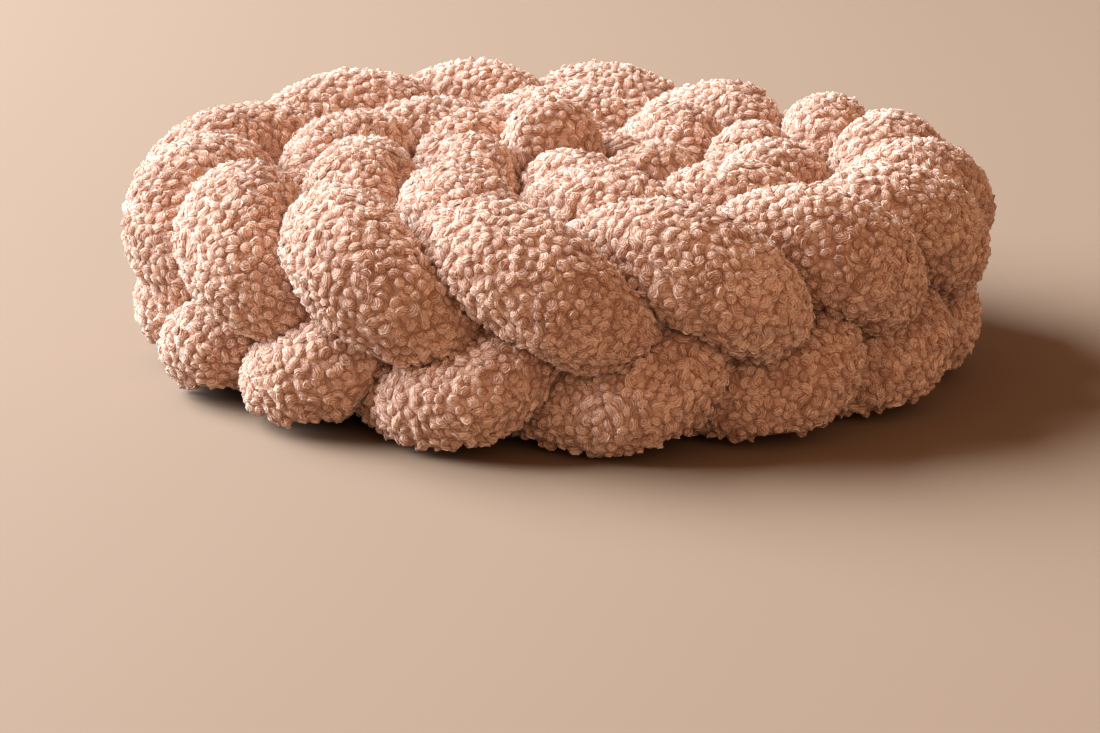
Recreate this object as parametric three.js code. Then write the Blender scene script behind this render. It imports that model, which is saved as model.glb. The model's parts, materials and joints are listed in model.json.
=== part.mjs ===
// A braided crib bumper, rolled up and resting on its lower edge.
// Three stuffed tubes of curly cloth are braided flat, and the braid is wound into a close spiral.
// Millimetres, +Z up, the surface at z = 0, the origin under the middle of the roll.
import * as THREE from "three";

// Driving dimensions
const strandRadius = 43; // of a stuffed tube where nothing presses on it
const lobeSwell = 4; // the radius grows by this much where an upper lobe comes down over the outside
const lobeStand = 2; // and its middle stands out by this much there
const swingUp = 44; // of a tube's middle above the middle of the braid
const swingDown = 38; // and below it
const swingOut = 18; // outwards where a tube passes over another, and inwards where it passes under
const lowerLag = 0.14; // how far the lower crests lie behind their even places, in crests
const braidMiddle = 70; // height of the middle of the braid above the surface
const outerReach = 282; // from the pole of the spiral to the middle of the braid at its outer end
const turnPitch = 97; // the spiral comes in by this much in one turn
const contactGap = 1; // between tubes that press on each other
const endLength = 0.55; // of a tube's rounded end, in crests
const tipShare = 0.6; // how far the tip stands ahead of the last ring, in steps between rings
const lobePhase = THREE.MathUtils.degToRad(150);

// The braid's upper crests in order from the outer end, each where a tube turns over the upper edge.
// turn: degrees round the pole, counter-clockwise from +X.
// out: mm off the even spiral. rise: mm above the others.
const crests = [
  { turn: 85, out: 2, rise: 0 },
  { turn: 106, out: 2, rise: 6 },
  { turn: 126, out: 2, rise: 7 },
  { turn: 156, out: 0, rise: 0 },
  { turn: 182, out: 0, rise: 0 },
  { turn: 206, out: 0, rise: 0 },
  { turn: 229, out: 0, rise: 0 },
  { turn: 254, out: 0, rise: 0 },
  { turn: 279, out: 0, rise: 0 },
  { turn: 303, out: 0, rise: 0 },
  { turn: 327, out: 1, rise: 0 },
  { turn: 351, out: 3, rise: 0 },
  { turn: 374, out: 8, rise: 4 },
  { turn: 396, out: 10, rise: 4 },
  { turn: 417, out: 10, rise: 5 },
  { turn: 454, out: 0, rise: 0 },
  { turn: 488, out: 0, rise: 0 },
  { turn: 521, out: 5, rise: 6 },
  { turn: 556, out: 3, rise: 5 },
  { turn: 591, out: 0, rise: 0 },
  { turn: 630, out: 0, rise: 3 },
  { turn: 669, out: 8, rise: 0 },
  { turn: 704, out: 8, rise: 0 },
  { turn: 735, out: 2, rise: 4 },
  { turn: 768, out: 6, rise: 8 },
  { turn: 813, out: 0, rise: 0 },
  { turn: 862, out: 8, rise: 12 },
  { turn: 910, out: 14, rise: 12 },
  { turn: 970, out: 14, rise: 0 },
  { turn: 1060, out: 22, rise: 0 },
  { turn: 1140, out: 47, rise: 0 },
  { turn: 1228, out: 60, rise: 30 },
];
const pole = new THREE.Vector2(24, 0);

// Where each tube starts and ends, in crests.
const strands = [
  { name: "strand_a", start: -0.9, end: 31.3 },
  { name: "strand_b", start: -0.7, end: 31.55 },
  { name: "strand_c", start: -0.8, end: 30.96 },
];

// Fineness of the solids
const sides = 12;
const ringsPerCrest = 7;
const endRings = 5;
const samplesPerCrest = 14;
const bendShare = 0.9; // the most of a bend's radius that the inside of the bend takes up
const ridgeHeight = 3; // the most that a point stands out from the four beside it
const softenPasses = 3;
const easePasses = 10;
const leastDistance = 1; // from a tube's middle to its skin
const smallStep = 0.02; // in crests, for directions along a line
const ownReach = 2; // a tube isn't its own neighbour within this many crests
const halvings = 14; // in the search for where two tubes meet

const lerp = THREE.MathUtils.lerp;
const clamp = THREE.MathUtils.clamp;

// A column of the crest table at a place between crests, as a smooth curve through its rows.
function along(column, place) {
  const last = crests.length - 1;
  const value = (i) => crests[i][column];
  const row = (i) => {
    if (i < 0) return value(0) + i * (value(1) - value(0));
    if (i > last) return value(last) + (i - last) * (value(last) - value(last - 1));
    return value(i);
  };
  const i = Math.floor(place);
  const t = place - i;
  const [a, b, c, d] = [row(i - 1), row(i), row(i + 1), row(i + 2)];
  return b + (t / 2) * (c - a + t * (2 * a - 5 * b + 4 * c - d + t * (3 * b - a - 3 * c + d)));
}

// The middle line of the braid, seen from above.
function middleAt(place) {
  const turn = along("turn", place);
  const reach = outerReach - (turnPitch * (turn - crests[0].turn)) / 360 + along("out", place);
  const angle = THREE.MathUtils.degToRad(turn);
  return new THREE.Vector2(Math.cos(angle), Math.sin(angle)).multiplyScalar(reach).add(pole);
}

// The side of the braid that faces out of the spiral, as a unit vector.
function outwardAt(place) {
  const ahead = middleAt(place + smallStep).sub(middleAt(place - smallStep)).normalize();
  return new THREE.Vector3(ahead.y, -ahead.x, 0);
}

// How far a tube is through its turn over and under the others: a quarter turn is the upper edge.
function phaseAt(k, place) {
  const even = (2 * Math.PI * (place - k)) / strands.length + Math.PI / 2;
  return even - (lowerLag * Math.PI * (1 - Math.sin(even))) / strands.length;
}

// One where an upper lobe is fullest, low on the outside, and nought half a turn round from there.
function fullness(phase) {
  return Math.pow(Math.max(0, Math.cos(phase - lobePhase)), 2);
}

// The middle of a tube's section.
function strandAt(k, place) {
  const phase = phaseAt(k, place);
  const rising = Math.sin(phase);
  const up = rising > 0 ? rising * (swingUp + along("rise", place)) : rising * swingDown;
  const out = lobeStand * fullness(phase) - swingOut * Math.sin(2 * phase);
  const middle = middleAt(place);
  return new THREE.Vector3(middle.x, middle.y, braidMiddle + up).addScaledVector(outwardAt(place), out);
}

// A tube's free radius, which closes in a round end.
function radiusAt(span, place) {
  const toEnd = Math.min(place - span.start, span.end - place) / endLength;
  const x = clamp(toEnd, 0, 1);
  const swell = lobeSwell * fullness(phaseAt(span.k, place));
  return (strandRadius + swell) * Math.sqrt(x * (2 - x));
}

function sampleStrand(span) {
  const samples = [];
  const count = Math.round((span.end - span.start) * samplesPerCrest);
  for (let i = 0; i <= count; i++) {
    const place = lerp(span.start, span.end, i / count);
    samples.push({ k: span.k, place, point: strandAt(span.k, place), radius: radiusAt(span, place) });
  }
  return samples;
}

const spans = strands.map((strand, k) => ({ ...strand, k }));
const allSamples = spans.flatMap(sampleStrand);

// One section of a tube: its middle, its free radius, its rays and the samples of its neighbours.
function sectionAt(span, place) {
  const centre = strandAt(span.k, place);
  const before = strandAt(span.k, place - smallStep);
  const after = strandAt(span.k, place + smallStep);
  const forward = after.clone().sub(before).normalize();
  const stepLength = after.distanceTo(before) / 2;
  const bend = after.clone().add(before).addScaledVector(centre, -2).divideScalar(stepLength * stepLength);
  bend.addScaledVector(forward, -bend.dot(forward));
  const outward = outwardAt(place);
  outward.addScaledVector(forward, -outward.dot(forward)).normalize();
  const upward = new THREE.Vector3().crossVectors(outward, forward).normalize();
  const radius = radiusAt(span, place);
  const reach = radius + strandRadius + lobeSwell + contactGap;
  const rivals = allSamples.filter((sample) => {
    const own = sample.k === span.k && Math.abs(sample.place - place) <= ownReach;
    return !own && sample.point.distanceTo(centre) < reach + sample.radius;
  });
  const rays = [];
  for (let i = 0; i < sides; i++) {
    const angle = (2 * Math.PI * i) / sides;
    rays.push(outward.clone().multiplyScalar(Math.cos(angle)).addScaledVector(upward, Math.sin(angle)));
  }
  const section = { centre, radius, rivals, rays };
  section.distances = rays.map((ray) => surfaceAlong(section, ray, bend));
  return section;
}

// How much room a point at a distance from a tube's middle keeps to the neighbours that press on the tube.
function spareAt(section, point, distance) {
  let least = Infinity;
  for (const rival of section.rivals) {
    least = Math.min(least, point.distanceTo(rival.point) - rival.radius);
  }
  return least - (distance - section.radius) - contactGap;
}

// How far a tube's surface lies from its middle along a ray: its free radius, less where a neighbour
// or the surface below presses on it, and less inside a sharp bend.
function surfaceAlong(section, ray, bend) {
  const floorLimit = ray.z < 0 ? section.centre.z / -ray.z : Infinity;
  const bendLimit = bend.dot(ray) > 0 ? bendShare / bend.dot(ray) : Infinity;
  const at = (distance) => section.centre.clone().addScaledVector(ray, distance);
  let far = Math.min(section.radius, floorLimit, bendLimit);
  if (spareAt(section, at(far), far) >= 0) return far;
  let near = 0;
  for (let i = 0; i < halvings; i++) {
    const mid = (near + far) / 2;
    if (spareAt(section, at(mid), mid) >= 0) near = mid;
    else far = mid;
  }
  return near;
}

function pointOn(section, i) {
  return section.centre.clone().addScaledVector(section.rays[i % sides], section.distances[i % sides]);
}

// Rounds off what stands out from the skin beside it.
function softenRidges(sections) {
  const reach = (r, i) => sections[clamp(r, 0, sections.length - 1)].distances[(i + sides) % sides];
  const softened = sections.map((section, r) =>
    section.distances.map((distance, i) => {
      const around = (reach(r - 1, i) + reach(r + 1, i) + reach(r, i - 1) + reach(r, i + 1)) / 4;
      return Math.min(distance, around + ridgeHeight);
    }),
  );
  sections.forEach((section, r) => {
    section.distances = softened[r];
  });
}

// Draws in the corners of each facet whose middle comes too near to a neighbour.
function easeFacets(sections) {
  const excess = sections.map(() => new Array(sides).fill(0));
  const test = (r, i, q, j) => {
    const middle = pointOn(sections[r], i).lerp(pointOn(sections[q], j), 0.5);
    const centre = sections[r].centre.clone().lerp(sections[q].centre, 0.5);
    const over = -spareAt(sections[r], middle, middle.distanceTo(centre));
    excess[r][i % sides] = Math.max(excess[r][i % sides], over);
    excess[q][j % sides] = Math.max(excess[q][j % sides], over);
  };
  for (let r = 0; r < sections.length; r++) {
    for (let i = 0; i < sides; i++) {
      test(r, i, r, i + 1);
      if (r + 1 === sections.length) continue;
      test(r, i, r + 1, i);
      test(r, i, r + 1, i + 1);
      test(r, i + 1, r + 1, i);
    }
  }
  sections.forEach((section, r) => {
    section.distances = section.distances.map((distance, i) =>
      Math.min(distance, Math.max(leastDistance, distance - excess[r][i])),
    );
  });
}

// The tip of a tube's round end, ahead of the middle of its last ring.
function tipOf(ring, last, end) {
  const middle = ring.reduce((sum, point) => sum.add(point), new THREE.Vector3()).divideScalar(ring.length);
  return middle.addScaledVector(end.centre.clone().sub(last.centre), tipShare);
}

// A closed skin over the sections of one tube, the first and the last of which are points.
function skin(sections) {
  const n = sections.length;
  const rings = sections.slice(1, -1).map((section) => section.rays.map((ray, i) => pointOn(section, i)));
  const firstTip = tipOf(rings[0], sections[1], sections[0]);
  const lastTip = tipOf(rings[n - 3], sections[n - 2], sections[n - 1]);
  const points = [firstTip, ...rings.flat(), lastTip];
  const faces = [];
  const at = (r, i) => 1 + r * sides + (i % sides);
  for (let i = 0; i < sides; i++) {
    faces.push([0, at(0, i), at(0, i + 1)]);
    faces.push([points.length - 1, at(rings.length - 1, i + 1), at(rings.length - 1, i)]);
    for (let r = 0; r + 1 < rings.length; r++) {
      const [a, b, c, d] = [at(r, i), at(r + 1, i), at(r + 1, i + 1), at(r, i + 1)];
      const across = points[a].distanceTo(points[c]) < points[b].distanceTo(points[d]);
      faces.push(...(across ? [[a, b, c], [a, c, d]] : [[a, b, d], [b, c, d]]));
    }
  }
  const geometry = new THREE.BufferGeometry().setFromPoints(points);
  geometry.setIndex(faces.flat());
  geometry.computeVertexNormals();
  return geometry;
}

// Where the sections of a tube are cut, closer together towards its round ends.
function cutsOf(span) {
  const fromEnd = (i) => endLength * (1 - Math.cos((Math.PI * i) / (2 * endRings)));
  const bodyLength = span.end - span.start - 2 * endLength;
  const bodyRings = Math.round(bodyLength * ringsPerCrest);
  const cuts = [];
  for (let i = 0; i < endRings; i++) cuts.push(span.start + fromEnd(i));
  for (let i = 0; i <= bodyRings; i++) cuts.push(span.start + endLength + (bodyLength * i) / bodyRings);
  for (let i = endRings - 1; i >= 0; i--) cuts.push(span.end - fromEnd(i));
  return cuts;
}

function strandGeometry(span) {
  const sections = cutsOf(span).map((place) => sectionAt(span, place));
  for (let pass = 0; pass < softenPasses; pass++) softenRidges(sections);
  for (let pass = 0; pass < easePasses; pass++) easeFacets(sections);
  return skin(sections);
}

const cloth = new THREE.MeshStandardMaterial({ color: 0xd9a08a, roughness: 0.95, metalness: 0 });

const bumper = new THREE.Group();
for (const span of spans) {
  const mesh = new THREE.Mesh(strandGeometry(span), cloth);
  mesh.name = span.name;
  bumper.add(mesh);
}

// The middle of the roll's box goes over the origin.
const box = new THREE.Box3().setFromObject(bumper);
const middle = box.getCenter(new THREE.Vector3());
for (const mesh of bumper.children) mesh.geometry.translate(-middle.x, -middle.y, 0);

export default bumper;
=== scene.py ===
import json
import math

import bmesh
import bpy
import numpy as np
from mathutils import Matrix, Vector, noise
from mathutils.bvhtree import BVHTree

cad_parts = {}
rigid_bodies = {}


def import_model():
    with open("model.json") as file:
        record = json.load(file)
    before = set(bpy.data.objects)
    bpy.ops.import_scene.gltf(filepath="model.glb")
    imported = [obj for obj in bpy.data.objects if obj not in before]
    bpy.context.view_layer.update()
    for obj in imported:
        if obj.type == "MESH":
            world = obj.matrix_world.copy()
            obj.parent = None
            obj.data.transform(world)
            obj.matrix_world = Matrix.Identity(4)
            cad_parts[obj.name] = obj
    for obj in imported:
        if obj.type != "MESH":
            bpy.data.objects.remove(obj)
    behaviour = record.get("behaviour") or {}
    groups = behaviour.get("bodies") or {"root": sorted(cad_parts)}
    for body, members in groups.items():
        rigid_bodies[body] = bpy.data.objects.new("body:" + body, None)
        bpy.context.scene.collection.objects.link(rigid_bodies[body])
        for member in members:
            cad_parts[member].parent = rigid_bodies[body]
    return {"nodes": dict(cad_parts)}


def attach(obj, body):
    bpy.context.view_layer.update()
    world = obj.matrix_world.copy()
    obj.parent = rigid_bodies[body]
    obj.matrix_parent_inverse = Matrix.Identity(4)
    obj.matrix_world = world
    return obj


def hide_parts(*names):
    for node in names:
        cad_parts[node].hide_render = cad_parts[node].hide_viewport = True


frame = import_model()
scene = bpy.context.scene


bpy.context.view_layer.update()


def linkObject(name, data):
    holder = bpy.data.objects.new(name, data)
    scene.collection.objects.link(holder)
    return holder


def meshFrom(bm, name):
    mesh = bpy.data.meshes.new(name)
    bm.to_mesh(mesh)
    bm.free()
    return mesh


# The mesh of an object as its modifiers leave it.
def finishedMesh(holder, name):
    depsgraph = bpy.context.evaluated_depsgraph_get()
    mesh = bpy.data.meshes.new_from_object(holder.evaluated_get(depsgraph))
    mesh.name = name
    return mesh


def vertsIn(geometry):
    return [part for part in geometry if isinstance(part, bmesh.types.BMVert)]


def edgesIn(geometry):
    return [part for part in geometry if isinstance(part, bmesh.types.BMEdge)]


cameraSettings = {
    "picture": (1100, 733),
    "elevation": math.radians(12.3),
    "distance": 2.304,
    "aim": (0, 0, 0.074),
    "aimPixel": (559, 244),  # where the aim falls in the picture
    "focalPixels": 3340,
    "sensor": 36,  # mm
}


def makeCamera(s):
    camera = bpy.data.cameras.new("camera")
    holder = linkObject("camera", camera)
    away = Vector((0, -math.cos(s["elevation"]), math.sin(s["elevation"])))
    holder.location = Vector(s["aim"]) + away * s["distance"]
    wide, high = s["picture"]
    camera.sensor_width = s["sensor"]
    camera.lens = s["focalPixels"] / wide * s["sensor"]
    yaw = math.atan((s["aimPixel"][0] - wide / 2) / s["focalPixels"])
    pitch = math.atan((high / 2 - s["aimPixel"][1]) / s["focalPixels"])
    facing = (-away).to_track_quat("-Z", "Y").to_matrix()
    turned = facing @ Matrix.Rotation(yaw, 3, "Y") @ Matrix.Rotation(-pitch, 3, "X")
    holder.rotation_euler = turned.to_euler()
    scene.camera = holder


makeCamera(cameraSettings)

lightSettings = {
    "key": {  # large and soft, behind and to the left
        "place": (-5.1, 1.5, 3.3),
        "size": 6.6,
        "watts": 3080,
        "colour": (0.80, 0.955, 1.08),
    },
    "fill": {  # weak and warm, in front
        "place": (1.4, -3.0, 1.2),
        "size": 2.6,
        "watts": 20,
        "colour": (1.0, 0.70, 0.48),
    },
    "aim": (0, 0, 0.08),
    "world": (1.0, 0.59, 0.36),
    "worldStrength": 0.52,
}


def makeLights(s):
    for name in ("key", "fill"):
        lamp = s[name]
        light = bpy.data.lights.new(name, "AREA")
        light.shape = "DISK"
        light.size = lamp["size"]
        light.energy = lamp["watts"]
        light.color = lamp["colour"]
        holder = linkObject(name, light)
        holder.location = lamp["place"]
        towards = Vector(s["aim"]) - holder.location
        holder.rotation_euler = towards.to_track_quat("-Z", "Y").to_euler()
    world = bpy.data.worlds.new("studio")
    world.use_nodes = True
    background = world.node_tree.nodes["Background"]
    background.inputs["Color"].default_value = (*s["world"], 1)
    background.inputs["Strength"].default_value = s["worldStrength"]
    scene.world = world


makeLights(lightSettings)
scene.view_settings.view_transform = "Standard"

floorSettings = {
    "width": 10.0,
    "front": -4.6,
    "back": 4.6,  # where the paper starts to curve up
    "curve": 0.9,  # its radius
    "curveSteps": 16,
    "rise": 2.4,  # above the curve
    "colour": (0.177, 0.105, 0.061),
    "roughness": 0.9,
}


def makeFloor(s):
    bm = bmesh.new()
    half = s["width"] / 2
    ends = [bm.verts.new((side, s["front"], 0)) for side in (-half, half)]
    out = bmesh.ops.extrude_edge_only(bm, edges=[bm.edges.new(ends)])["geom"]
    bmesh.ops.translate(bm, verts=vertsIn(out), vec=(0, s["back"] - s["front"], 0))
    line = edgesIn(out)
    curved = bmesh.ops.spin(
        bm,
        geom=line + list(line[0].verts),
        axis=(1, 0, 0),
        cent=(0, s["back"], s["curve"]),
        angle=math.pi / 2,
        steps=s["curveSteps"],
        use_merge=False,
    )["geom_last"]
    out = bmesh.ops.extrude_edge_only(bm, edges=edgesIn(curved))["geom"]
    bmesh.ops.translate(bm, verts=vertsIn(out), vec=(0, 0, s["rise"]))
    bmesh.ops.recalc_face_normals(bm, faces=bm.faces)
    mesh = meshFrom(bm, "floor")
    mesh.shade_smooth()
    floor = linkObject("floor", mesh)
    paper = bpy.data.materials.new("plainPaper")
    paper.use_nodes = True
    shader = paper.node_tree.nodes["Principled BSDF"]
    shader.inputs["Base Color"].default_value = (*s["colour"], 1)
    shader.inputs["Roughness"].default_value = s["roughness"]
    mesh.materials.append(paper)


makeFloor(floorSettings)
print("stage: camera, light and floor made")


def mathNode(tree, operation, *values):
    node = tree.nodes.new("ShaderNodeMath")
    node.operation = operation
    for socket, value in zip(node.inputs, values):
        if isinstance(value, (int, float)):
            socket.default_value = value
        else:
            tree.links.new(value, socket)
    return node.outputs["Value"]


def addShare(tree, total, value, share):
    return mathNode(tree, "MULTIPLY_ADD", value, share, total)


def stretch(tree, value, span, wanted, kind="LINEAR"):
    node = tree.nodes.new("ShaderNodeMapRange")
    node.interpolation_type = kind
    node.inputs["From Min"].default_value = span[0]
    node.inputs["From Max"].default_value = span[1]
    node.inputs["To Min"].default_value = wanted[0]
    node.inputs["To Max"].default_value = wanted[1]
    tree.links.new(value, node.inputs["Value"])
    return node.outputs["Result"]


def noiseNode(tree, where, scale, detail):
    node = tree.nodes.new("ShaderNodeTexNoise")
    node.inputs["Scale"].default_value = scale
    node.inputs["Detail"].default_value = detail
    tree.links.new(where, node.inputs["Vector"])
    return node


clothSettings = {  # shared by the cloth of the tubes and the curls
    "deep": (0.36, 0.165, 0.10),
    "middle": (0.76, 0.50, 0.375),
    "pale": (0.95, 0.78, 0.66),
    "middleAt": 0.5,  # on the way from deep to pale
    "roughness": 0.9,
    "diffuseRoughness": 1.0,
    "specular": 0.2,
    "sheen": 0.18,
    "sheenRoughness": 0.45,
    "sheenTint": (1.0, 0.84, 0.74),
    "bump": 0.8,
    "patch": (14, 3),  # broad changes of tone: how many per metre, and their detail
    "noiseSpan": (0.3, 0.7),  # the part of a noise's range that is used
}


def startCloth(name, s):
    material = bpy.data.materials.new(name)
    material.use_nodes = True
    tree = material.node_tree
    shader = tree.nodes["Principled BSDF"]
    shader.inputs["Roughness"].default_value = s["roughness"]
    shader.inputs["Diffuse Roughness"].default_value = s["diffuseRoughness"]
    shader.inputs["Specular IOR Level"].default_value = s["specular"]
    shader.inputs["Sheen Weight"].default_value = s["sheen"]
    shader.inputs["Sheen Roughness"].default_value = s["sheenRoughness"]
    shader.inputs["Sheen Tint"].default_value = (*s["sheenTint"], 1)
    where = tree.nodes.new("ShaderNodeTexCoord").outputs["Object"]
    return material, tree, shader, where


def finishCloth(tree, shader, s, tone, height, depth):
    ramp = tree.nodes.new("ShaderNodeValToRGB")
    ramp.color_ramp.elements[0].color = (*s["deep"], 1)
    ramp.color_ramp.elements[1].color = (*s["pale"], 1)
    ramp.color_ramp.elements.new(s["middleAt"]).color = (*s["middle"], 1)
    tree.links.new(tone, ramp.inputs["Fac"])
    tree.links.new(ramp.outputs["Color"], shader.inputs["Base Color"])
    bump = tree.nodes.new("ShaderNodeBump")
    bump.inputs["Strength"].default_value = s["bump"]
    bump.inputs["Distance"].default_value = depth
    tree.links.new(height, bump.inputs["Height"])
    tree.links.new(bump.outputs["Normal"], shader.inputs["Normal"])


groundClothSettings = {
    "knob": 165,  # knobs of curled fibre per metre
    "dome": (0.2, 0.66),  # how far from its middle a knob starts and ends to fall
    "wander": (90, 2),
    "wanderBy": 0.004,
    "fibre": (1500, 2),
    "rings": 3.4,  # turns of fibre in a knob
    "ringWander": 2.5,
    "ringHeight": 0.16,  # against the height of a knob
    "fibreHeight": 0.2,
    "patchTone": (0.0, 0.2),
    # painted shade: knobs lighter in the middle, darker in the grooves between them
    "paintedKnobShade": 0.3,
    "ringTone": 0.07,
    "ownTone": 0.2,
    "depth": 0.0022,
}


# Knobs of curled fibre with rings in them, under and between the curls of the pile, their edges
# darkened with painted shade.
def makeGroundCloth(s, t):
    material, tree, shader, where = startCloth("curlyGround", s)
    bent = tree.nodes.new("ShaderNodeVectorMath")
    bent.operation = "MULTIPLY_ADD"
    bent.inputs[1].default_value = (t["wanderBy"],) * 3
    tree.links.new(noiseNode(tree, where, *t["wander"]).outputs["Color"], bent.inputs[0])
    tree.links.new(where, bent.inputs[2])
    knobs = tree.nodes.new("ShaderNodeTexVoronoi")
    knobs.inputs["Scale"].default_value = t["knob"]
    tree.links.new(bent.outputs["Vector"], knobs.inputs["Vector"])
    distance = knobs.outputs["Distance"]
    dome = stretch(tree, distance, t["dome"], (1, 0), "SMOOTHSTEP")
    own = tree.nodes.new("ShaderNodeSeparateColor")
    tree.links.new(knobs.outputs["Color"], own.inputs["Color"])
    fine = noiseNode(tree, where, *t["fibre"]).outputs["Fac"]
    broad = noiseNode(tree, where, *s["patch"]).outputs["Fac"]

    turned = addShare(tree, own.outputs["Red"], distance, t["rings"] * 2 * math.pi)
    turned = addShare(tree, turned, fine, t["ringWander"])
    rings = mathNode(tree, "SINE", turned)
    height = addShare(tree, dome, rings, t["ringHeight"])
    height = addShare(tree, height, fine, t["fibreHeight"])
    tone = stretch(tree, broad, s["noiseSpan"], t["patchTone"])
    # painted shade: darker towards the edge of each knob
    tone = addShare(tree, tone, dome, t["paintedKnobShade"])
    tone = addShare(tree, tone, rings, t["ringTone"])
    tone = addShare(tree, tone, own.outputs["Green"], t["ownTone"])
    finishCloth(tree, shader, s, tone, height, t["depth"])
    return material


pileClothSettings = {
    "curly": (420, 2),
    "fibre": (1500, 1),
    "strands": 4.2,  # strands of fibre across a curl
    "strandWander": 9,
    "strandHeight": 0.45,  # against the height of a fibre
    "patchTone": (-0.28, -0.10),
    "ownTone": 0.26,
    # how strongly the curls' painted shade darkens their tone
    "paintedShadeTone": 0.92,
    "strandTone": 0.2,
    "fibreTone": (-0.09, 0.09),
    "depth": 0.0006,
}


# The curls themselves, with painted shade that darkens them towards their roots and in their
# pits, and strands of fibre round them.
def makePileCloth(s, t):
    material, tree, shader, where = startCloth("curlyPile", s)
    carried = {}
    for name in ("tone", "shade", "around"):
        attribute = tree.nodes.new("ShaderNodeAttribute")
        attribute.attribute_name = name
        carried[name] = attribute.outputs["Fac"]
    fine = noiseNode(tree, where, *t["fibre"]).outputs["Fac"]
    curly = noiseNode(tree, where, *t["curly"]).outputs["Fac"]
    broad = noiseNode(tree, where, *s["patch"]).outputs["Fac"]

    turned = addShare(tree, carried["tone"], carried["around"], t["strands"] * 2 * math.pi)
    turned = addShare(tree, turned, curly, t["strandWander"])
    strands = mathNode(tree, "SINE", turned)
    height = addShare(tree, fine, strands, t["strandHeight"])
    tone = stretch(tree, broad, s["noiseSpan"], t["patchTone"])
    tone = addShare(tree, tone, carried["tone"], t["ownTone"])
    # painted shade: the curls' shade attribute darkens roots and pits and lightens crowns
    tone = addShare(tree, tone, carried["shade"], t["paintedShadeTone"])
    tone = addShare(tree, tone, strands, t["strandTone"])
    flecks = stretch(tree, fine, s["noiseSpan"], t["fibreTone"])
    tone = mathNode(tree, "ADD", flecks, tone)
    finishCloth(tree, shader, s, tone, height, t["depth"])
    return material


groundCloth = makeGroundCloth(clothSettings, groundClothSettings)
pileCloth = makePileCloth(clothSettings, pileClothSettings)
print("stage: cloth made")

tubeSettings = {
    "merge": 0.00001,
    "rounding": (2, 0.35),  # passes and strength, before the subdivision
    "levels": 1,
    "softening": (3, 0.4),  # and after it
    "swell": 0.0044,  # where nothing presses on the cloth
    "lump": 0.0013,  # and how unevenly
    "lumps": 28,  # per metre
}


def soften(bm, passes, factor):
    for _ in range(passes):
        bmesh.ops.smooth_vert(
            bm, verts=bm.verts, factor=factor, use_axis_x=True, use_axis_y=True, use_axis_z=True
        )


# One stuffed tube, from a merged copy of its solid.
def makeTube(solid, name, s):
    bm = bmesh.new()
    bm.from_mesh(solid.data)
    bmesh.ops.remove_doubles(bm, verts=bm.verts, dist=s["merge"])
    bmesh.ops.join_triangles(
        bm,
        faces=bm.faces,
        angle_face_threshold=math.pi,
        angle_shape_threshold=math.pi,
    )
    soften(bm, *s["rounding"])
    tube = linkObject(name, meshFrom(bm, name + "Coarse"))
    finer = tube.modifiers.new("finer", "SUBSURF")
    finer.levels = finer.render_levels = s["levels"]
    tube.data = finishedMesh(tube, name)
    tube.modifiers.clear()

    bm = bmesh.new()
    bm.from_mesh(tube.data)
    soften(bm, *s["softening"])
    bm.to_mesh(tube.data)
    bm.free()
    tube.data.shade_smooth()
    tube.data.materials.clear()
    tube.data.materials.append(groundCloth)
    return tube


tubes = {}
for node in sorted(frame["nodes"]):
    tubes[node] = makeTube(frame["nodes"][node], node.replace("strand_", "tube"), tubeSettings)
print("stage: tubes made,", {t.name: len(t.data.polygons) for t in tubes.values()})

openSettings = {  # for where the cloth lies open, and so swells and carries pile
    "rays": 14,
    "skinClear": 0.001,  # how far off the cloth a ray starts
    "reach": 0.06,
    "least": 0.04,  # share of free rays where the pile starts
    "full": 0.16,  # and where it is whole
    "floorClear": 0.004,
    "underside": -0.8,  # no pile is sown where the cloth faces down this much
    "underHeight": 0.02,  # and lies this low
    "outerReach": 0.2,  # from the middle of the roll; nearer in is the inner pile
}


# Rays over the half sphere about +Z, closer together towards its top.
def hemisphere(count):
    goldenAngle = math.pi * (3 - math.sqrt(5))
    rays = []
    for i in range(count):
        up = math.sqrt((i + 0.5) / count)
        turn = i * goldenAngle
        side = math.sqrt(1 - up * up)
        rays.append(Vector((side * math.cos(turn), side * math.sin(turn), up)))
    return rays


def meshArrays(mesh):
    places = np.empty(len(mesh.vertices) * 3)
    normals = np.empty(len(mesh.vertices) * 3)
    mesh.vertices.foreach_get("co", places)
    mesh.vertices.foreach_get("normal", normals)
    return places.reshape(-1, 3), normals.reshape(-1, 3)


# All the tubes' cloth as one, for rays to strike.
def skinOf(tubes):
    places, faces, first = [], [], 0
    for tube in tubes:
        own, _ = meshArrays(tube.data)
        places.extend(map(Vector, own))
        faces.extend([[first + v for v in p.vertices] for p in tube.data.polygons])
        first += len(own)
    return BVHTree.FromPolygons(places, faces)


# How open the cloth lies at a place, from 0 where it is pressed or hidden to 1.
def openShare(place, normal, skin, rays, s):
    if place.z < s["floorClear"]:
        return 0
    if normal.z < s["underside"] and place.z < s["underHeight"]:
        return 0
    turned = normal.to_track_quat("Z", "Y")
    start = place + normal * s["skinClear"]
    free = sum(skin.ray_cast(start, turned @ ray, s["reach"])[0] is None for ray in rays)
    return min(1, max(0, (free / len(rays) - s["least"]) / (s["full"] - s["least"])))


def openShares(tube, skin, rays, s):
    pairs = zip(*meshArrays(tube.data))
    shares = [openShare(Vector(place), Vector(normal), skin, rays, s) for place, normal in pairs]
    return np.array(shares, np.float32)


# The shares that the outer and the inner pile are sown by.
def keepShares(tube, shares, s):
    places, _ = meshArrays(tube.data)
    outside = np.hypot(places[:, 0], places[:, 1]) > s["outerReach"]
    for name, kept in (("pileOuter", outside), ("pileInner", ~outside)):
        attribute = tube.data.attributes.new(name, "FLOAT", "POINT")
        attribute.data.foreach_set("value", shares * kept)


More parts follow.
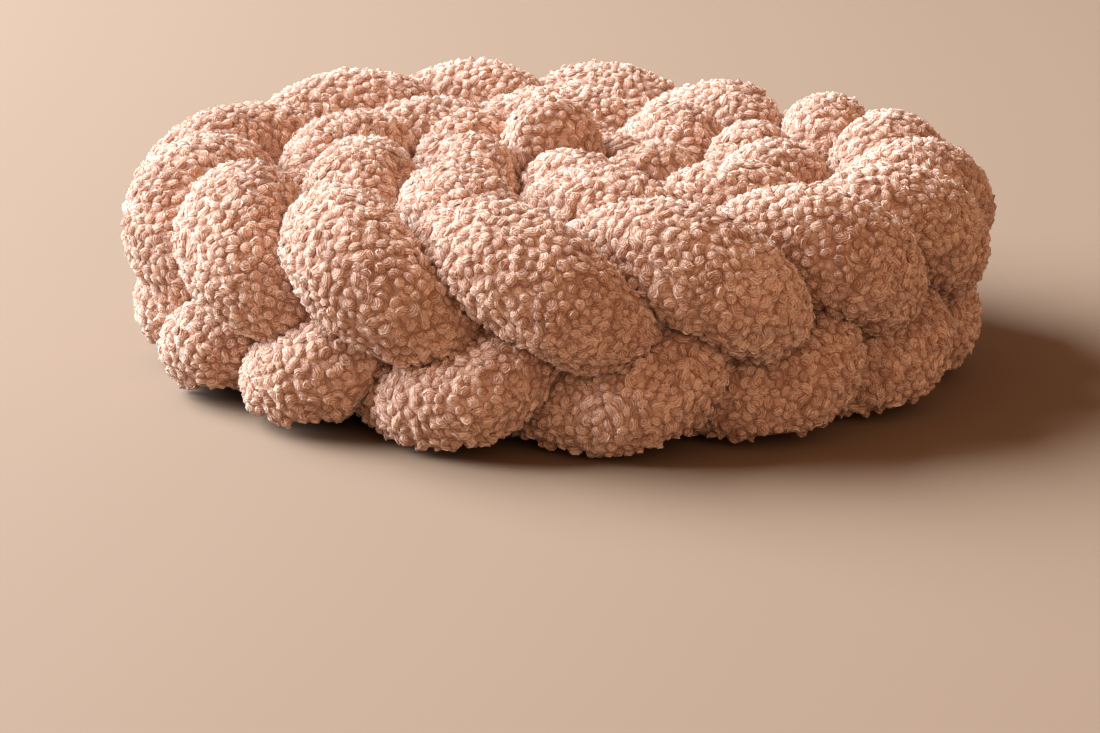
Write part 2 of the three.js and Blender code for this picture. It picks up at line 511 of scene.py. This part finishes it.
def swellTube(tube, shares, s):
    places, normals = meshArrays(tube.data)
    lumps = np.array([noise.noise(Vector(place) * s["lumps"]) for place in places])
    places += normals * ((s["swell"] + s["lump"] * lumps) * shares)[:, None]
    places[:, 2] = np.maximum(places[:, 2], 0)
    tube.data.vertices.foreach_set("co", places.ravel())
    tube.data.update()


skin = skinOf(tubes.values())
rays = hemisphere(openSettings["rays"])
for tube in tubes.values():
    shares = openShares(tube, skin, rays, openSettings)
    keepShares(tube, shares, openSettings)
    swellTube(tube, shares, tubeSettings)
print("stage: tubes swollen where they lie open")

curlSettings = {
    "seed": 4,
    "shapes": 24,
    "corners": 6,
    "radius": (0.0047, 0.0056),
    "crown": (0.34, 0.44),  # of the radius, in from the edge
    "high": (0.0008, 0.0018),
    "peak": (0.0, 0.0005),
    "foot": 0.0025,
    "pit": (-0.0013, -0.0003),  # the level of the side that the fibre curls round
    "pitAside": 0.45,  # of the radius, from the middle
    "pitReach": 0.85,  # of the radius, to where the curl is at its highest
    "moundPaintedShade": (0.1, 0.55),  # painted shade: its value in the pit, and what is added towards the crown
    # painted shade of a strand: its value at the pit, and what is added as it rises away
    "strandPaintedShade": (0.45, 0.35),
    "strandSides": 3,
    "strandSteps": 3,
    "strandThick": (0.00030, 0.00046),  # radius of its section
    "strandRing": (0.34, 0.58),  # of the radius
    "strandArc": (math.radians(150), math.radians(250)),
    "strandHeading": (-0.7, 0.7),
    "strandLift": (-0.00005, 0.00015),
    "strandTip": 1.6,  # of its thickness, down into the curl
    "loose": 9,  # of the shapes, with a strand that stands away
    "looseLift": (0.0003, 0.0009),
    "stretch": (0.85, 1.45),
    "unevenness": 0.00030,
}


def riseAt(place, curl, s):
    return min(1, (place.xy - curl["pitPlace"]).length / (s["pitReach"] * curl["radius"]))


def levelAt(rise, curl):
    return curl["pit"] + (curl["high"] - curl["pit"]) * rise


# A low mound with a pit at one side, with painted shade that is darkest at its foot and in the
# pit.
def addMound(bm, curl, s, rng):
    shade = bm.verts.layers.float["shade"]
    around = bm.verts.layers.float["around"]
    radius = curl["radius"]
    edge = list(
        bmesh.ops.create_circle(bm, segments=s["corners"], radius=radius, cap_ends=True)["verts"]
    )
    face = list(bm.faces)
    bmesh.ops.inset_individual(
        bm, faces=face, thickness=curl["crown"] * radius, use_even_offset=True
    )
    middle = bmesh.ops.poke(bm, faces=face)["verts"][0]
    for vert in bm.verts:
        rise = riseAt(vert.co, curl, s)
        vert[around] = (vert.co.xy - curl["pitPlace"]).length / radius
        if vert in edge:
            vert.co.z = -s["foot"]
        else:
            vert.co.z = levelAt(rise, curl)
            # painted shade: lighter as the mound rises away from the pit; the edge keeps none,
            # so its foot is darkest
            vert[shade] = s["moundPaintedShade"][0] + s["moundPaintedShade"][1] * rise
    middle.co.z += rng.uniform(*s["peak"])


# One strand of fibre round the mound, its ends turned down into it.
def addStrand(bm, curl, liftRange, s, rng):
    shade = bm.verts.layers.float["shade"]
    around = bm.verts.layers.float["around"]
    mound = set(bm.verts)
    ring = rng.uniform(*s["strandRing"]) * curl["radius"]
    arc = rng.uniform(*s["strandArc"])
    lift = rng.uniform(*liftRange)
    thick = rng.uniform(*s["strandThick"])
    heading = rng.uniform(*s["strandHeading"])
    centre = (0, 0, 0)
    first = bmesh.ops.create_circle(bm, segments=s["strandSides"], radius=thick)["verts"]
    upright = Matrix.Rotation(math.pi / 2, 3, "X")
    bmesh.ops.rotate(bm, verts=first, cent=centre, matrix=upright)
    bmesh.ops.translate(bm, verts=first, vec=(ring, 0, 0))
    setBack = Matrix.Rotation(heading - arc / 2, 3, "Z")
    bmesh.ops.rotate(bm, verts=first, cent=centre, matrix=setBack)
    out = bmesh.ops.spin(
        bm,
        geom=list(first) + list({e for v in first for e in v.link_edges}),
        axis=(0, 0, 1),
        cent=centre,
        angle=arc,
        steps=s["strandSteps"],
        use_merge=False,
    )["geom_last"]
    for vert in set(bm.verts) - mound:
        rise = riseAt(vert.co, curl, s)
        # painted shade: the strand is lighter as it rises away from the pit
        vert[shade] = s["strandPaintedShade"][0] + s["strandPaintedShade"][1] * rise
        vert[around] = ring / curl["radius"]
        vert.co.z += levelAt(rise, curl) + lift
    down = Vector((0, 0, s["strandTip"] * thick))
    for end in (first, vertsIn(out)):
        tip = sum((v.co for v in end), Vector()) / len(end)
        bmesh.ops.pointmerge(bm, verts=end, merge_co=tip - down)


def unevenCurl(bm, s, rng):
    longer = math.sqrt(rng.uniform(*s["stretch"]))
    for vert in bm.verts:
        vert.co.x /= longer
        vert.co.y *= longer
        for axis in range(3):
            vert.co[axis] += s["unevenness"] * rng.uniform(-1, 1)


# A lock of fibre curled in on itself.
def makeCurlShape(index, s, rng):
    bm = bmesh.new()
    for name in ("shade", "around"):
        bm.verts.layers.float.new(name)
    curl = {name: rng.uniform(*s[name]) for name in ("radius", "crown", "high", "pit")}
    curl["pitPlace"] = Vector((-s["pitAside"] * curl["radius"], 0))
    addMound(bm, curl, s, rng)
    addStrand(bm, curl, s["looseLift"] if index < s["loose"] else s["strandLift"], s, rng)
    unevenCurl(bm, s, rng)
    bmesh.ops.recalc_face_normals(bm, faces=bm.faces)
    name = f"curlShape{index:02d}"
    mesh = meshFrom(bm, name)
    mesh.shade_smooth()
    mesh.materials.append(pileCloth)
    return bpy.data.objects.new(name, mesh)


def makeCurlShapes(s):
    rng = np.random.default_rng(s["seed"])
    shapes = bpy.data.collections.new("curlShapes")
    scene.collection.children.link(shapes)
    for index in range(s["shapes"]):
        shapes.objects.link(makeCurlShape(index, s, rng))
    return shapes


curlShapes = makeCurlShapes(curlSettings)

pileSettings = {
    "spacing": 0.00528,
    "density": 80000,  # per square metre, before the spacing thins them
    "tilt": math.radians(15),
    "scale": (0.72, 1.15),
    "lift": 0.0017,
    "floorGap": 0.0002,
    "tubeSeed": 100,  # apart from one tube to the next
    "seeds": {"outer": 5, "inner": 55},
    "turnSeed": 11,  # these three are added to the pile's own seed
    "scaleSeed": 23,
    "toneSeed": 37,
}


def randomValue(nodes, kind, low, high, seed):
    node = nodes.new("FunctionNodeRandomValue")
    node.data_type = kind
    place = {"FLOAT_VECTOR": 0, "FLOAT": 1}[kind]  # its sockets share their names
    node.inputs[2 * place].default_value = low
    node.inputs[2 * place + 1].default_value = high
    node.inputs["Seed"].default_value = seed
    return node.outputs[place]


# Curls on points spread over the cloth, each with its own turn, size and tone.
def pileNodes(name, shareName, shapes, s, seed):
    group = bpy.data.node_groups.new(name, "GeometryNodeTree")
    for way in ("INPUT", "OUTPUT"):
        group.interface.new_socket("Geometry", in_out=way, socket_type="NodeSocketGeometry")
    nodes, links = group.nodes, group.links
    start = nodes.new("NodeGroupInput")
    end = nodes.new("NodeGroupOutput")

    share = nodes.new("GeometryNodeInputNamedAttribute")
    share.data_type = "FLOAT"
    share.inputs["Name"].default_value = shareName
    points = nodes.new("GeometryNodeDistributePointsOnFaces")
    points.distribute_method = "POISSON"
    points.inputs["Distance Min"].default_value = s["spacing"]
    points.inputs["Density Max"].default_value = s["density"]
    points.inputs["Seed"].default_value = seed
    links.new(start.outputs["Geometry"], points.inputs["Mesh"])
    links.new(share.outputs["Attribute"], points.inputs["Density Factor"])

    most = (s["tilt"], s["tilt"], math.pi)
    least = tuple(-angle for angle in most)
    turn = randomValue(nodes, "FLOAT_VECTOR", least, most, seed + s["turnSeed"])
    asTurn = nodes.new("FunctionNodeEulerToRotation")
    links.new(turn, asTurn.inputs["Euler"])
    turned = nodes.new("FunctionNodeRotateRotation")
    turned.rotation_space = "LOCAL"
    links.new(points.outputs["Rotation"], turned.inputs["Rotation"])
    links.new(asTurn.outputs["Rotation"], turned.inputs["Rotate By"])

    lift = nodes.new("ShaderNodeVectorMath")
    lift.operation = "SCALE"
    lift.inputs["Scale"].default_value = s["lift"]
    links.new(points.outputs["Normal"], lift.inputs[0])
    lifted = nodes.new("GeometryNodeSetPosition")
    links.new(points.outputs["Points"], lifted.inputs["Geometry"])
    links.new(lift.outputs["Vector"], lifted.inputs["Offset"])

    curls = nodes.new("GeometryNodeCollectionInfo")
    curls.inputs["Collection"].default_value = shapes
    curls.inputs["Separate Children"].default_value = True
    curls.inputs["Reset Children"].default_value = True
    placed = nodes.new("GeometryNodeInstanceOnPoints")
    placed.inputs["Pick Instance"].default_value = True
    links.new(lifted.outputs["Geometry"], placed.inputs["Points"])
    links.new(curls.outputs["Instances"], placed.inputs["Instance"])
    links.new(turned.outputs["Rotation"], placed.inputs["Rotation"])
    size = randomValue(nodes, "FLOAT", *s["scale"], seed + s["scaleSeed"])
    links.new(size, placed.inputs["Scale"])

    toned = nodes.new("GeometryNodeStoreNamedAttribute")
    toned.data_type = "FLOAT"
    toned.domain = "INSTANCE"
    toned.inputs["Name"].default_value = "tone"
    links.new(placed.outputs["Instances"], toned.inputs["Geometry"])
    tone = randomValue(nodes, "FLOAT", 0, 1, seed + s["toneSeed"])
    links.new(tone, toned.inputs["Value"])
    real = nodes.new("GeometryNodeRealizeInstances")
    links.new(toned.outputs["Geometry"], real.inputs["Geometry"])
    links.new(real.outputs["Geometry"], end.inputs["Geometry"])
    return group


def makePile(tube, name, shareName, shapes, s, seed):
    pile = linkObject(name, tube.data.copy())
    sown = pile.modifiers.new("pile", "NODES")
    sown.node_group = pileNodes(name, shareName, shapes, s, seed)
    bpy.context.view_layer.update()
    mesh = finishedMesh(pile, name)
    places, _ = meshArrays(mesh)
    places[:, 2] = np.maximum(places[:, 2], s["floorGap"])
    mesh.vertices.foreach_set("co", places.ravel())
    pile.modifiers.clear()
    pile.data = mesh
    return pile


piles = {}
for index, (node, tube) in enumerate(tubes.items()):
    letter = node[-1].upper()
    piles[node] = []
    for part, seed in pileSettings["seeds"].items():
        name = f"pile{letter}{part}"
        share = "pile" + part.capitalize()
        seed += pileSettings["tubeSeed"] * index
        piles[node].append(makePile(tube, name, share, curlShapes, pileSettings, seed))
for shape in list(curlShapes.objects):
    bpy.data.objects.remove(shape)
bpy.data.collections.remove(curlShapes)


def trianglesIn(mesh):
    mesh.calc_loop_triangles()
    return len(mesh.loop_triangles)


total = 0
for node, tube in tubes.items():
    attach(tube, "root")
    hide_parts(node)
    total += trianglesIn(tube.data)
    for pile in piles[node]:
        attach(pile, "root")
        total += trianglesIn(pile.data)
        print("stage:", pile.name, trianglesIn(pile.data), "triangles")
print("stage: pile made,", total, "triangles in all")
